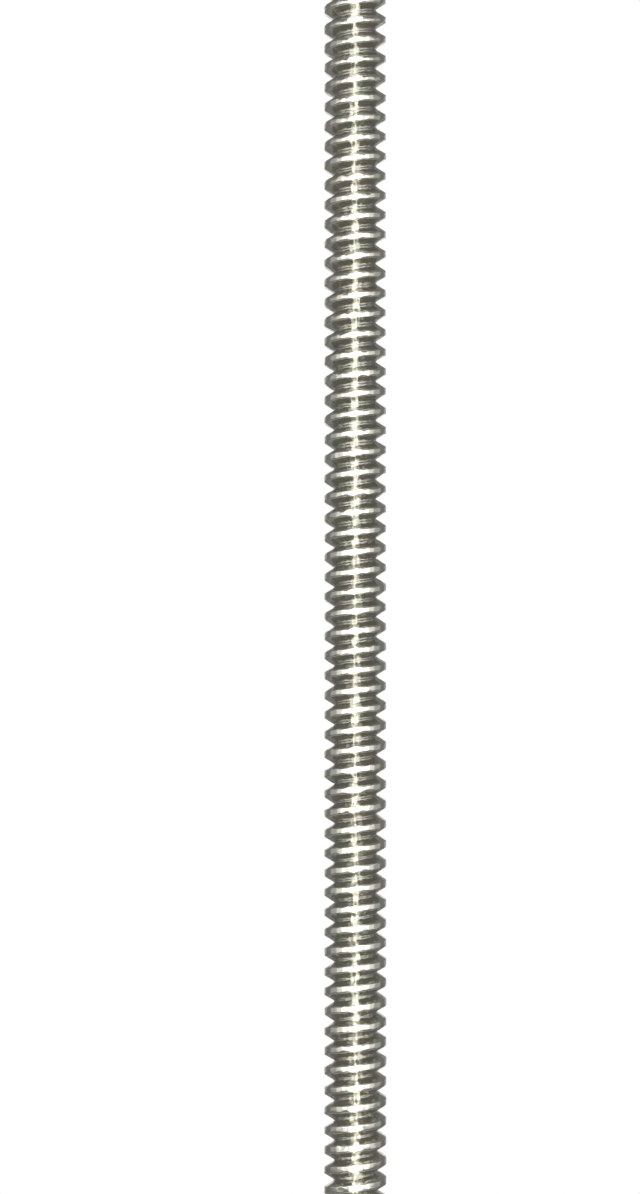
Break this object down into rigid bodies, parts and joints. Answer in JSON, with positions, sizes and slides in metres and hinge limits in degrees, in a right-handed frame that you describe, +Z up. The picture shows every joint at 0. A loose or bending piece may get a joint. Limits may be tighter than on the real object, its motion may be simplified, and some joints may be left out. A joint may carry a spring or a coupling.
{
  "type": "threaded rod",
  "caption": "Straight metal rod with one coarse right-hand V thread from end to end and chamfered square ends.",
  "frame": {"origin": "centre of the lower end face, on the rod's axis", "axes": "+Z runs up the rod's axis to the upper end face; the crest's centre line crosses the +X side at the height of the lower end face, and the thread is right-handed about +Z"},
  "size_m": [0.008, 0.008, 0.16],
  "materials": {
    "rod_steel": "bright rolled stainless steel, with fine lines along the thread and a faint warm film in the groove"
  },
  "bodies": {
    "root": {"threaded_rod": "rod_steel"}
  },
  "joints": []
}
